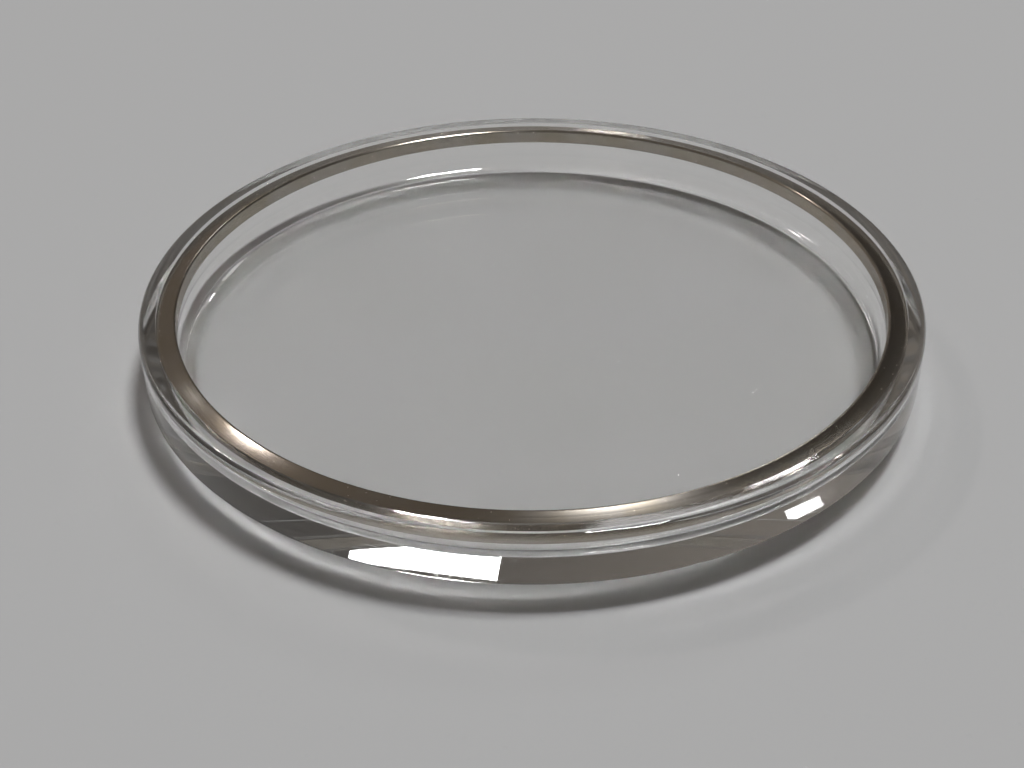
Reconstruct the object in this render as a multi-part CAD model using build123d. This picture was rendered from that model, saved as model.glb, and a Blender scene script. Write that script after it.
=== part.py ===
from build123d import *

import os
from math import asin, degrees, sqrt

# Armoured watch crystal, in millimetres: a clear moulded cover and the metal ring that is
# pressed inside its rim, so that the rim can't give way when a case grips it.
# It lies dome down. The origin is the middle of the dome's outer face, which is its lowest
# point, and +Z points up, out of the open side that a case closes.
# Both pieces are turned, so each is one section, drawn as (radius, height) and spun about Z.

# The clear crystal
crystal_diameter = 32.0  # across the outer wall, where a case grips it
crystal_height = 3.45  # from the middle of the dome to the rim face
dome_radius = 215.0  # curve of the dome's outer face
dome_thickness = 1.05  # the inner face has the same centre
bevel_width = 0.9  # sloping face between the dome and the outer wall, measured outwards
bevel_height = 0.8  # the same face, measured along the axis
bevel_foot_radius = 0.75  # where the bevel runs into the dome
bevel_top_radius = 0.15  # where the bevel meets the outer wall
hollow_corner_radius = 0.9  # between the inner face and the inner wall
rim_edge_radius = 0.25  # outer edge of the rim face
rim_wall = 0.7  # clear wall left outside the ring

# The tension ring
ring_width = 0.8
ring_height = 0.65
ring_lip = 0.1  # how far the ring stands in from the crystal's inner wall
ring_slope_width = 0.38  # sloping inner part of the top, which reaches the rim's height at the bore
ring_shelf_drop = 0.13  # how far the flat outer part of the top lies below the rim face
ring_bore_edge_radius = 0.1  # upper edge of the bore

# Share of the straight wall beside it that the hollow's corner may round at most
corner_wall_share = 0.9

# Radii and heights that both pieces share
crystal_radius = crystal_diameter / 2
seat_radius = crystal_radius - rim_wall
bore_radius = seat_radius - ring_width
hollow_radius = bore_radius + ring_lip
ledge_height = crystal_height - ring_height
ring_shelf = crystal_height - ring_shelf_drop


def arc_height(arc_radius, radius):
    """Height, at a distance from the axis, of an arc about the dome's centre."""
    return dome_radius - sqrt(arc_radius**2 - radius**2)


def dome_arc(arc_radius, radius):
    """Arc about the dome's centre, from the axis out to a distance from it."""
    return CenterArc((0, dome_radius), arc_radius, -90, degrees(asin(radius / arc_radius)))


def corner(section, radius, height):
    """The section's corner nearest to a point."""
    return section.vertices().sort_by_distance((radius, height, 0))[0]


def spin(section):
    """Solid of revolution of a section about Z."""
    return revolve(Plane.XZ * section, Axis.Z)


def make_crystal():
    """Shallow clear cup, with a stepped seat for the ring inside its rim."""
    inner_radius = dome_radius - dome_thickness
    foot_radius = crystal_radius - bevel_width
    bevel_foot = (foot_radius, arc_height(dome_radius, foot_radius))
    bevel_top = (crystal_radius, bevel_foot[1] + bevel_height)
    inner_corner = (hollow_radius, arc_height(inner_radius, hollow_radius))
    inner_wall = ledge_height - inner_corner[1]
    inner_round = min(hollow_corner_radius, inner_wall * corner_wall_share)
    wall = Polyline(
        bevel_foot,
        bevel_top,
        (crystal_radius, crystal_height),
        (seat_radius, crystal_height),
        (seat_radius, ledge_height),
        (hollow_radius, ledge_height),
        inner_corner,
    )
    middle = Line((0, 0), (0, dome_thickness))
    outline = [
        dome_arc(dome_radius, foot_radius),
        wall,
        dome_arc(inner_radius, hollow_radius),
        middle,
    ]
    section = make_face(Curve() + outline)
    section = fillet(corner(section, *bevel_foot), bevel_foot_radius)
    section = fillet(corner(section, *bevel_top), bevel_top_radius)
    section = fillet(corner(section, *inner_corner), inner_round)
    section = fillet(corner(section, crystal_radius, crystal_height), rim_edge_radius)
    return spin(section)


def make_tension_ring():
    """Flat metal ring, pressed against its seat, whose top slopes up to the bore."""
    section = make_face(
        Polyline(
            (bore_radius, ledge_height),
            (seat_radius, ledge_height),
            (seat_radius, ring_shelf),
            (bore_radius + ring_slope_width, ring_shelf),
            (bore_radius, crystal_height),
            close=True,
        )
    )
    section = fillet(corner(section, bore_radius, crystal_height), ring_bore_edge_radius)
    return spin(section)


pieces = {
    "crystal": make_crystal(),
    "tension_ring": make_tension_ring(),
}

os.makedirs("parts", exist_ok=True)
for name, piece in pieces.items():
    export_step(piece, f"parts/{name}.step")
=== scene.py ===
from collections import namedtuple
from math import acos, asin, atan2, cos, pi, radians, sin, sqrt, tan

import bmesh
import bpy
from bpy.props import FloatProperty, FloatVectorProperty, IntProperty, PointerProperty
from mathutils import Matrix, Vector


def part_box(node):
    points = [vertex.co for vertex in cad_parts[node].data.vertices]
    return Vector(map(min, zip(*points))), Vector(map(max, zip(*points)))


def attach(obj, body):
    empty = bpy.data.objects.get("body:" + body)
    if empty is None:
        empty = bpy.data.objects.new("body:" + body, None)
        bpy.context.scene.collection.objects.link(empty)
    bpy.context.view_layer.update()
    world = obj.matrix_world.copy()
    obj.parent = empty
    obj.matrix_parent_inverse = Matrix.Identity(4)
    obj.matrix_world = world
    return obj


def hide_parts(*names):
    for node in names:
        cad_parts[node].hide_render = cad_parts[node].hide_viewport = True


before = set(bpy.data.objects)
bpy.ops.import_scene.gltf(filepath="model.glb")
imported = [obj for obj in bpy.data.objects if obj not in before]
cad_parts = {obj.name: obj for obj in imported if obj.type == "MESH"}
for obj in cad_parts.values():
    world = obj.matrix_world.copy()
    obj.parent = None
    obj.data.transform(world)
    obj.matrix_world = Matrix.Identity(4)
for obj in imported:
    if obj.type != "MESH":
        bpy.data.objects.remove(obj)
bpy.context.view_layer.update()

bl_info = {
    "name": "Armoured watch crystal",
    "version": (1, 0, 0),
    "blender": (4, 5, 0),
    "location": "3D View > Sidebar > Crystal",
    "description": "Builds a clear watch crystal, its tension ring and a small studio",
    "category": "Add Mesh",
}

# The sizes that the solids hold: both pieces are centred on Z, and the crystal stands on its dome
cover_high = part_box("crystal")[1]
ring_low, ring_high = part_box("tension_ring")
mm = 0.001


def length(name, description, default):
    """A length that the sidebar shows."""
    return FloatProperty(
        name=name, description=description, default=default, precision=5, unit="LENGTH"
    )


def colour(name, description, default):
    """A colour that the sidebar shows."""
    return FloatVectorProperty(
        name=name, description=description, default=default, subtype="COLOR"
    )


def share(name, description, default):
    """A plain number between nothing and one."""
    return FloatProperty(
        name=name, description=description, default=default, min=0, max=1, subtype="FACTOR"
    )


def angle(name, description, default):
    """An angle, given in degrees."""
    return FloatProperty(
        name=name, description=description, default=radians(default), subtype="ANGLE"
    )


def number(name, description, default):
    """A plain number."""
    return FloatProperty(name=name, description=description, default=default)


def count(name, description, default):
    """A whole number."""
    return IntProperty(name=name, description=description, default=default, min=1)


class CoverSizes(bpy.types.PropertyGroup):
    """Sizes of the clear cover's section."""

    radius: length("Radius", "Radius of the outer wall", cover_high.x)
    height: length("Height", "From the middle of the dome to the rim face", cover_high.z)
    dome_radius: length("Dome radius", "Curve of the dome's outer face", 215.0 * mm)
    dome_thickness: length("Dome thickness", "Clear material in the dome", 1.05 * mm)
    bevel_width: length("Bevel width", "From the dome's edge out to the outer wall", 0.9 * mm)
    bevel_height: length("Bevel height", "The same face along the axis", 0.8 * mm)
    foot_round: length("Foot round", "Where the bevel runs into the dome", 0.75 * mm)
    top_round: length("Top round", "Where the bevel meets the outer wall", 0.15 * mm)
    corner_radius: length("Hollow's corner", "Round between inner face and inner wall", 0.9 * mm)
    rim_edge: length("Rim edge", "Round of the rim face's outer edge", 0.25 * mm)
    ring_lip: length("Ring lip", "How far the ring stands in from the inner wall", 0.1 * mm)


class RingSizes(bpy.types.PropertyGroup):
    """Sizes of the tension ring's section."""

    width: length("Width", "From the bore to the seat", 0.8 * mm)
    slope_width: length("Slope width", "Sloping inner part of the top", 0.38 * mm)
    shelf_drop: length("Shelf drop", "From the rim face down to the foot of the slope", 0.13 * mm)
    shelf_fall: length("Shelf fall", "Further drop from there out to the seat", 0.05 * mm)
    bore_round: length("Bore round", "Upper edge of the bore", 0.1 * mm)
    bite: length("Bite", "How far the pressed ring bites into its seat", 0.01 * mm)


class MeshSteps(bpy.types.PropertyGroup):
    """Fineness of the meshes."""

    turns: count("Turns", "Steps of a full spin", 384)
    dome_steps: count("Dome steps", "Steps along the dome", 40)
    round_steps: count("Round steps", "Steps along a rounded corner", 18)
    smooth_angle: angle("Smooth angle", "Sharper edges stay crisp", 25.0)


class AcrylicFinish(bpy.types.PropertyGroup):
    """Look of the clear acrylic."""

    tint: colour("Tint", "Faint colour of clear acrylic", (0.99, 0.99, 0.985))
    aged_tint: colour("Aged tint", "The same where it has yellowed a little", (0.982, 0.983, 0.972))
    polish: share("Polish", "Roughness of the polished faces", 0.004)
    turned: share("Turned", "Roughness that the tool's lines add to the rim", 0.03)
    scratched: share("Scratched", "Roughness that a hairline scratch adds", 0.2)
    lines: number("Lines", "Turned lines in a millimetre", 9.0)
    line_depth: length("Line depth", "Depth of a turned line", 0.0007 * mm)
    scratch_depth: length("Scratch depth", "Depth of a hairline scratch", 0.0004 * mm)
    scratch_scale: number("Scratch scale", "Scratch curves in a millimetre", 0.22)
    scratch_bend: number("Scratch bend", "How far a scratch strays", 3.0)
    scratch_share: share("Scratch share", "Width of a scratch as a share of its curve", 0.004)
    refraction: number("Refraction", "Index of refraction of acrylic", 1.49)


class MetalFinish(bpy.types.PropertyGroup):
    """Look of the plated ring."""

    plating: colour("Plating", "Colour of the plating", (0.52, 0.48, 0.43))
    worn: colour("Worn", "Colour where the brass shows through", (0.48, 0.42, 0.33))
    smooth: share("Smooth", "Roughness between the tool's lines", 0.17)
    rough: share("Rough", "Roughness in the tool's lines", 0.22)
    pitted: share("Pitted", "Roughness that a small pit adds", 0.1)
    grain: share("Grain", "How far a glint is drawn out across the lines", 0.75)
    lines: number("Lines", "Turned lines in a millimetre", 20.0)
    line_depth: length("Line depth", "Depth of a turned line", 0.0003 * mm)


class StageSizes(bpy.types.PropertyGroup):
    """Floor, even light and camera."""

    floor_side: length("Floor side", "Length of the square floor", 6.0)
    floor_colour: colour("Floor", "Colour of the floor", (0.5, 0.505, 0.51))
    floor_roughness: share("Floor roughness", "Roughness of the floor", 0.9)
    lamp_distance: length("Lamp distance", "From the crystal to each lamp", 2.0)
    room_strength: number("Room", "Strength of the even light", 0.7)
    room_front: colour("Room in front", "Light from the camera's side", (0.15, 0.145, 0.14))
    room_left: colour("Room at the left", "Light from behind at the left", (0.2, 0.175, 0.15))
    room_right: colour("Room at the right", "Light from behind at the right", (0.05, 0.045, 0.04))
    camera_pitch: angle("Camera pitch", "How far the view looks down", 34.9)
    camera_roll: angle("Camera roll", "Lean of the view", -0.62)
    camera_reach: number("Camera reach", "Distance to the rim, in radii of the crystal", 4.1346)
    camera_side: number("Camera side", "Shift to the left, in radii of the crystal", 0.0512)
    camera_drop: number("Camera drop", "Shift down the picture, in radii of the crystal", 0.2549)
    camera_lens: number("Lens", "Focal length in millimetres", 56.25)
    camera_film: number("Film width", "Width of the film in millimetres", 36.0)
    camera_clip: length("Clip start", "Nearest distance that the camera sees", 1.0 * mm)
    bounces: count("Bounces", "Turns of a light path inside the acrylic", 32)


# A lamp's place in the sky and its spread, in degrees, with the brightness of its face
Lamp = namedtuple("Lamp", "elevation azimuth width height brightness colour")
LAMPS = {
    "lamp_overhead": Lamp(77.7, 6.0, 10.5, 10.5, 60.0, (1.0, 1.0, 1.0)),
    "lamp_behind": Lamp(42.0, 76.8, 13.5, 3.6, 5.0, (1.0, 1.0, 1.0)),
    "lamp_glint": Lamp(37.6, 77.8, 2.6, 1.4, 30.0, (1.0, 1.0, 1.0)),
    "lamp_corner": Lamp(38.0, 124.5, 6.0, 1.6, 1.6, (1.0, 1.0, 1.0)),
    "lamp_left": Lamp(47.6, 136.0, 3.2, 3.2, 65.0, (1.0, 0.92, 0.9)),
}


class Section:
    """A section drawn as a wire: X is the distance from the axis and Z the height."""

    def __init__(self, mesh, start):
        self.mesh = mesh
        self.end = mesh.verts.new((start[0], 0, start[1]))

    def line(self, radius, height):
        """Straight to a point."""
        made = bmesh.ops.extrude_vert_indiv(self.mesh, verts=[self.end])
        self.end = made["verts"][0]
        self.end.co = (radius, 0, height)

    def arc(self, centre, turn, steps):
        """Round a centre by an angle, anticlockwise with the axis at the left."""
        made = bmesh.ops.spin(
            self.mesh,
            geom=[self.end],
            cent=(centre[0], 0, centre[1]),
            axis=(0, -1, 0),
            angle=turn,
            steps=steps,
        )
        self.end = [v for v in made["geom_last"] if isinstance(v, bmesh.types.BMVert)][0]


def turned_piece(name, draw):
    """A piece turned from the section that draw makes, closed, with its faces outwards."""
    steps = bpy.context.scene.mesh_steps
    mesh = bmesh.new()
    draw(mesh)
    bmesh.ops.spin(
        mesh,
        geom=mesh.verts[:] + mesh.edges[:],
        cent=(0, 0, 0),
        axis=(0, 0, 1),
        angle=2 * pi,
        steps=steps.turns,
        use_merge=True,
    )
    merge_distance = 0.0001 * mm
    bmesh.ops.remove_doubles(mesh, verts=mesh.verts, dist=merge_distance)
    bmesh.ops.recalc_face_normals(mesh, faces=mesh.faces)
    if mesh.calc_volume(signed=True) < 0:
        bmesh.ops.reverse_faces(mesh, faces=mesh.faces)
    data = bpy.data.meshes.new(name)
    mesh.to_mesh(data)
    mesh.free()
    piece = bpy.data.objects.new(name, data)
    bpy.context.scene.collection.objects.link(piece)
    chosen = {"object": piece, "active_object": piece, "selected_editable_objects": [piece]}
    with bpy.context.temp_override(**chosen):
        bpy.ops.object.shade_smooth_by_angle(angle=steps.smooth_angle)
    return piece


class Nodes:
    """Short way to lay out the nodes of a material or of the room."""

    def __init__(self, tree):
        self.tree = tree

    def add(self, kind, inputs=None, **settings):
        """A node with its settings, and with its inputs linked or set."""
        node = self.tree.nodes.new(kind)
        for key, value in settings.items():
            setattr(node, key, value)
        for key, value in (inputs or {}).items():
            self.feed(node.inputs[key], value)
        return node

    def feed(self, socket, value):
        """Links a socket to an output, or sets it."""
        if isinstance(value, bpy.types.NodeSocket):
            self.tree.links.new(value, socket)
        else:
            socket.default_value = value

    def math(self, operation, first, second=0.0):
        """One step of arithmetic."""
        return self.add("ShaderNodeMath", {0: first, 1: second}, operation=operation).outputs[0]

    def ramp(self, value, low, high, start=0.0, end=1.0):
        """Turns the span from low to high into the one from start to end."""
        spans = {"Value": value, "From Min": low, "From Max": high, "To Min": start, "To Max": end}
        return self.add("ShaderNodeMapRange", spans).outputs[0]

    def mix(self, factor, first, second):
        """Mixes two colours."""
        colours = {"Factor": factor, 6: as_paint(first), 7: as_paint(second)}
        return self.add("ShaderNodeMix", colours, data_type="RGBA").outputs[2]

    def noise(self, place, scale, detail=2.0, distortion=0.0):
        """Cloudy noise over a place in millimetres."""
        inputs = {"Vector": place, "Scale": scale, "Detail": detail, "Distortion": distortion}
        return self.add("ShaderNodeTexNoise", inputs).outputs[0]

    def lines(self, way, scale):
        """Uneven lines across a way in millimetres."""
        inputs = {"W": way, "Scale": scale, "Detail": 4.0, "Roughness": 0.7}
        return self.add("ShaderNodeTexNoise", inputs, noise_dimensions="1D").outputs[0]

    def place(self):
        """Place on the piece in millimetres, its distance from the axis and its height."""
        coordinates = self.add("ShaderNodeTexCoord").outputs["Object"]
        scaled = {0: coordinates, "Scale": 1 / mm}
        place = self.add("ShaderNodeVectorMath", scaled, operation="SCALE").outputs[0]
        level = {0: place, 1: (1, 1, 0)}
        flat = self.add("ShaderNodeVectorMath", level, operation="MULTIPLY").outputs[0]
        distance = self.add("ShaderNodeVectorMath", {0: flat}, operation="LENGTH").outputs["Value"]
        height = self.add("ShaderNodeSeparateXYZ", {0: place}).outputs["Z"]
        return place, distance, height


def as_paint(value):
    """A colour with the fourth number that a colour socket holds."""
    if isinstance(value, bpy.types.NodeSocket):
        return value
    return (*value[:3], 1)


def new_material(name):
    """A material with its Principled shader, and the layout helper for its nodes."""
    material = bpy.data.materials.new(name)
    material.use_nodes = True
    shader = material.node_tree.nodes["Principled BSDF"]
    return material, shader, Nodes(material.node_tree)


def clear_acrylic():
    """Polished clear acrylic: turned lines on its rim, hairline scratches, a little yellowing."""
    finish = bpy.context.scene.acrylic_finish
    rim_edge = bpy.context.scene.cover_sizes.rim_edge
    material, shader, nodes = new_material("clear_acrylic")
    place, distance, height = nodes.place()

    # The tool's lines lie on the rim face and on its rounded edge
    seat, top, edge = ring_high.x / mm, cover_high.z / mm, rim_edge / mm
    outside = nodes.ramp(distance, seat - edge / 4, seat)
    rim = nodes.math("MULTIPLY", outside, nodes.ramp(height, top - edge, top - edge / 2))
    turned = nodes.math("MULTIPLY", nodes.lines(distance, finish.lines), rim)

    # A hairline follows the middle level of a distorted cloud, and shows only in worn places
    middle, worn_span, yellow_span = 0.5, (0.5, 0.62), (0.35, 0.7)
    cloud = nodes.noise(place, finish.scratch_scale, detail=0.0, distortion=finish.scratch_bend)
    level = nodes.math("ABSOLUTE", nodes.math("SUBTRACT", cloud, middle))
    hair = nodes.ramp(level, 0.0, finish.scratch_share, 1.0, 0.0)
    worn = nodes.ramp(nodes.noise(place, finish.scratch_scale * 2), *worn_span)
    scratch = nodes.math("MULTIPLY", hair, worn)

    yellowing = nodes.ramp(nodes.noise(place, finish.scratch_scale / 2), *yellow_span)
    nodes.feed(shader.inputs["Base Color"], nodes.mix(yellowing, finish.tint, finish.aged_tint))
    rim_roughness = nodes.math("MULTIPLY", turned, finish.turned)
    scratch_roughness = nodes.math("MULTIPLY", scratch, finish.scratched)
    added = nodes.math("ADD", rim_roughness, scratch_roughness)
    nodes.feed(shader.inputs["Roughness"], nodes.math("ADD", added, finish.polish))
    grooves = nodes.add("ShaderNodeBump", {"Distance": finish.line_depth, "Height": turned})
    scored = nodes.add(
        "ShaderNodeBump",
        {"Distance": finish.scratch_depth, "Height": scratch, "Normal": grooves.outputs[0]},
        invert=True,
    )
    nodes.feed(shader.inputs["Normal"], scored.outputs[0])
    shader.inputs["Transmission Weight"].default_value = 1.0
    shader.inputs["IOR"].default_value = finish.refraction
    return material


def turned_metal():
    """Plated brass with the fine rings that a lathe leaves, a few pits and some wear."""
    finish = bpy.context.scene.metal_finish
    material, shader, nodes = new_material("ring_metal")
    place, distance, height = nodes.place()
    lines = nodes.lines(nodes.math("ADD", distance, height), finish.lines)
    # Wear comes in patches, most on the lines' crests, and pits where a fine cloud is densest
    patch_scale, patch_span, pit_scale, pit_span = 0.6, (0.4, 0.68), 9.0, (0.7, 0.76)
    crest_span, crest_wear, groove_span = (0.35, 0.65), (0.4, 1.0), (0.3, 0.7)
    patches = nodes.ramp(nodes.noise(place, patch_scale, detail=4.0), *patch_span)
    pits = nodes.ramp(nodes.noise(place, pit_scale), *pit_span)
    wear = nodes.math("MULTIPLY", patches, nodes.ramp(lines, *crest_span, *crest_wear))
    nodes.feed(shader.inputs["Base Color"], nodes.mix(wear, finish.plating, finish.worn))
    grooved = nodes.ramp(lines, *groove_span, finish.smooth, finish.rough)
    pitted = nodes.math("MULTIPLY", pits, finish.pitted)
    nodes.feed(shader.inputs["Roughness"], nodes.math("ADD", grooved, pitted))
    relief = nodes.math("SUBTRACT", lines, pits)
    bump = nodes.add("ShaderNodeBump", {"Distance": finish.line_depth, "Height": relief})
    nodes.feed(shader.inputs["Normal"], bump.outputs[0])
    tangent = nodes.add("ShaderNodeTangent", direction_type="RADIAL", axis="Z")
    nodes.feed(shader.inputs["Tangent"], tangent.outputs[0])
    quarter_turn = 0.25
    shader.inputs["Metallic"].default_value = 1.0
    shader.inputs["Anisotropic"].default_value = finish.grain
    shader.inputs["Anisotropic Rotation"].default_value = quarter_turn
    return material


class CRYSTAL_OT_clear_cover(bpy.types.Operator):
    """Turn the clear cover: dome, bevel, outer wall, rim face, the ring's seat and the hollow"""

    bl_idname = "crystal.clear_cover"
    bl_label = "Clear cover"

    def execute(self, context):
        sizes = context.scene.cover_sizes
        steps = context.scene.mesh_steps
        seat_radius = ring_high.x
        hollow_radius = seat_radius - context.scene.ring_sizes.width + sizes.ring_lip
        ledge_height = ring_low.z

        def draw(mesh):
            dome = (0, sizes.dome_radius)
            foot_radius = sizes.radius - sizes.bevel_width
            foot_height = sizes.dome_radius - sqrt(sizes.dome_radius**2 - foot_radius**2)
            slope = atan2(sizes.bevel_height, sizes.bevel_width)
            # The foot's round touches the bevel, and lies inside the dome by its own radius
            depth = sizes.dome_radius - sizes.foot_round
            below_centre = sizes.dome_radius - foot_height
            reach = foot_radius * sin(slope) + below_centre * cos(slope) - sizes.foot_round
            outer_turn = slope - acos(reach / depth)
            foot = (depth * sin(outer_turn), sizes.dome_radius - depth * cos(outer_turn))
            # The top round touches the bevel and the wall
            top_turn = pi / 2 - slope
            tangent = sizes.top_round * tan(top_turn / 2)
            top_height = foot_height + sizes.bevel_height + tangent
            # The hollow's corner touches the inner face and the inner wall
            corner_depth = sizes.dome_radius - sizes.dome_thickness - sizes.corner_radius
            corner_radius = hollow_radius - sizes.corner_radius
            inner_turn = asin(corner_radius / corner_depth)
            corner = (corner_radius, sizes.dome_radius - corner_depth * cos(inner_turn))
            rim_edge = (sizes.radius - sizes.rim_edge, sizes.height - sizes.rim_edge)

            section = Section(mesh, (0, 0))
            section.arc(dome, outer_turn, steps.dome_steps)
            section.arc(foot, slope - outer_turn, steps.round_steps)
            bevel_end = top_height - tangent * (1 + sin(slope))
            section.line(sizes.radius - tangent * cos(slope), bevel_end)
            section.arc((sizes.radius - sizes.top_round, top_height), top_turn, steps.round_steps)
            section.line(sizes.radius, rim_edge[1])
            section.arc(rim_edge, pi / 2, steps.round_steps)
            section.line(seat_radius, sizes.height)
            section.line(seat_radius, ledge_height)
            section.line(hollow_radius, ledge_height)
            section.line(hollow_radius, corner[1])
            section.arc(corner, inner_turn - pi / 2, steps.round_steps)
            section.arc(dome, -inner_turn, steps.dome_steps)

        piece = turned_piece("clear_cover", draw)
        piece.data.materials.append(clear_acrylic())
        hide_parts("crystal")
        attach(piece, "root")
        return {"FINISHED"}


class CRYSTAL_OT_tension_ring(bpy.types.Operator):
    """Turn the metal ring that is pressed inside the rim"""

    bl_idname = "crystal.tension_ring"
    bl_label = "Tension ring"

    def execute(self, context):
        sizes = context.scene.ring_sizes
        steps = context.scene.mesh_steps
        outer, bore = ring_high.x + sizes.bite, ring_high.x - sizes.width
        # The slope would reach the bore at the rim's height, were its edge not rounded
        bottom, peak = ring_low.z - sizes.bite, cover_high.z

        def draw(mesh):
            slope = atan2(sizes.shelf_drop, sizes.slope_width)
            edge_turn = pi / 2 + slope
            tangent = sizes.bore_round * tan(edge_turn / 2)
            section = Section(mesh, (bore, bottom))
            section.line(outer, bottom)
            section.line(outer, peak - sizes.shelf_drop - sizes.shelf_fall)
            section.line(bore + sizes.slope_width, peak - sizes.shelf_drop)
            section.line(bore + tangent * cos(slope), peak - tangent * sin(slope))
            section.arc((bore + sizes.bore_round, peak - tangent), edge_turn, steps.round_steps)
            section.line(bore, bottom)

        piece = turned_piece("turned_ring", draw)
        piece.data.materials.append(turned_metal())
        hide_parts("tension_ring")
        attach(piece, "root")
        return {"FINISHED"}


def add_lamp(name, lamp):
    """Flat soft lamp that faces the crystal."""
    distance = bpy.context.scene.stage_sizes.lamp_distance
    up, around = radians(lamp.elevation), radians(lamp.azimuth)
    aim = Vector((cos(up) * cos(around), cos(up) * sin(around), sin(up)))
    light = bpy.data.lights.new(name, "AREA")
    light.shape = "RECTANGLE"
    light.size = 2 * distance * tan(radians(lamp.width) / 2)
    light.size_y = 2 * distance * tan(radians(lamp.height) / 2)
    light.energy = pi * lamp.brightness * light.size * light.size_y
    light.color = lamp.colour
    piece = bpy.data.objects.new(name, light)
    piece.location = aim * distance
    piece.rotation_euler = aim.to_track_quat("Z", "Y").to_euler()
    bpy.context.scene.collection.objects.link(piece)


def add_room(scene):
    """Even light of a room: grey in front, warm behind at the left, dim behind at the right."""
    sizes = scene.stage_sizes
    world = bpy.data.worlds.new("room")
    world.use_nodes = True
    scene.world = world
    nodes = Nodes(world.node_tree)
    way = nodes.add("ShaderNodeTexCoord").outputs["Generated"]
    parts = nodes.add("ShaderNodeSeparateXYZ", {0: way}).outputs
    # Where the light in front turns into that behind, and the left one into the right one
    turn_behind, turn_right = (-0.6, 0.2), (-0.3, 0.35)
    behind = nodes.ramp(parts["Y"], *turn_behind)
    right = nodes.ramp(parts["X"], *turn_right)
    dim = nodes.mix(right, sizes.room_left, sizes.room_right)
    background = world.node_tree.nodes["Background"]
    nodes.feed(background.inputs["Color"], nodes.mix(behind, sizes.room_front, dim))
    background.inputs["Strength"].default_value = sizes.room_strength


def add_floor(scene):
    """Plain pale floor."""
    sizes = scene.stage_sizes
    mesh = bmesh.new()
    bmesh.ops.create_grid(mesh, x_segments=1, y_segments=1, size=sizes.floor_side / 2)
    data = bpy.data.meshes.new("floor")
    mesh.to_mesh(data)
    mesh.free()
    floor = bpy.data.objects.new("floor", data)
    scene.collection.objects.link(floor)
    material, shader, nodes = new_material("floor")
    nodes.feed(shader.inputs["Base Color"], as_paint(sizes.floor_colour))
    nodes.feed(shader.inputs["Roughness"], sizes.floor_roughness)
    data.materials.append(material)


def add_camera(scene):
    """Camera at the viewing angle, aimed a little in front of the rim's centre."""
    sizes = scene.stage_sizes
    pitch, roll = sizes.camera_pitch, sizes.camera_roll
    forward = Vector((0, cos(pitch), -sin(pitch)))
    level = Vector((1, 0, 0))
    raised = level.cross(forward)
    right = level * cos(roll) + raised * sin(roll)
    up = raised * cos(roll) - level * sin(roll)
    back = forward * sizes.camera_reach + level * sizes.camera_side + raised * sizes.camera_drop
    place = Vector((0, 0, cover_high.z)) - back * cover_high.x
    data = bpy.data.cameras.new("camera")
    data.sensor_width = sizes.camera_film
    data.lens = sizes.camera_lens
    data.clip_start = sizes.camera_clip
    camera = bpy.data.objects.new("camera", data)
    rotation = Matrix((right, up, -forward)).transposed()
    camera.matrix_world = Matrix.Translation(place) @ rotation.to_4x4()
    scene.collection.objects.link(camera)
    scene.camera = camera


class CRYSTAL_OT_stage(bpy.types.Operator):
    """Lay the floor and set the lamps, the even light and the camera"""

    bl_idname = "crystal.stage"
    bl_label = "Stage"

    def execute(self, context):
        scene = context.scene
        add_floor(scene)
        for name, lamp in LAMPS.items():
            add_lamp(name, lamp)
        add_room(scene)
        add_camera(scene)
        scene.view_settings.view_transform = "Standard"
        for limit in ("max_bounces", "glossy_bounces", "transmission_bounces"):
            setattr(scene.cycles, limit, scene.stage_sizes.bounces)
        # The floor under the dome is lit through the acrylic: these settings keep such paths
        scene.cycles.blur_glossy = 0.0
        scene.cycles.sample_clamp_indirect = 0.0
        scene.cycles.use_guiding = True
        scene.cycles.use_surface_guiding = True
        return {"FINISHED"}


class CRYSTAL_PT_sidebar(bpy.types.Panel):
    """Sizes, colours and the steps that build the crystal"""

    bl_idname = "CRYSTAL_PT_sidebar"
    bl_label = "Watch crystal"
    bl_space_type = "VIEW_3D"
    bl_region_type = "UI"
    bl_category = "Crystal"

    def draw(self, context):
        for group in GROUPS:
            box = self.layout.box()
            sizes = getattr(context.scene, group)
            for key in sizes.__annotations__:
                box.prop(sizes, key)
        for step in STEPS:
            self.layout.operator(step.bl_idname)


GROUPS = {
    "cover_sizes": CoverSizes,
    "ring_sizes": RingSizes,
    "mesh_steps": MeshSteps,
    "acrylic_finish": AcrylicFinish,
    "metal_finish": MetalFinish,
    "stage_sizes": StageSizes,
}
STEPS = (CRYSTAL_OT_stage, CRYSTAL_OT_clear_cover, CRYSTAL_OT_tension_ring)
CLASSES = (*GROUPS.values(), *STEPS, CRYSTAL_PT_sidebar)


def register():
    for made in CLASSES:
        bpy.utils.register_class(made)
    for name, group in GROUPS.items():
        setattr(bpy.types.Scene, name, PointerProperty(type=group))


def unregister():
    for name in GROUPS:
        delattr(bpy.types.Scene, name)
    for made in reversed(CLASSES):
        bpy.utils.unregister_class(made)


def main():
    register()
    bpy.ops.crystal.stage()
    bpy.ops.crystal.clear_cover()
    bpy.ops.crystal.tension_ring()


if __name__ == "__main__":
    main()
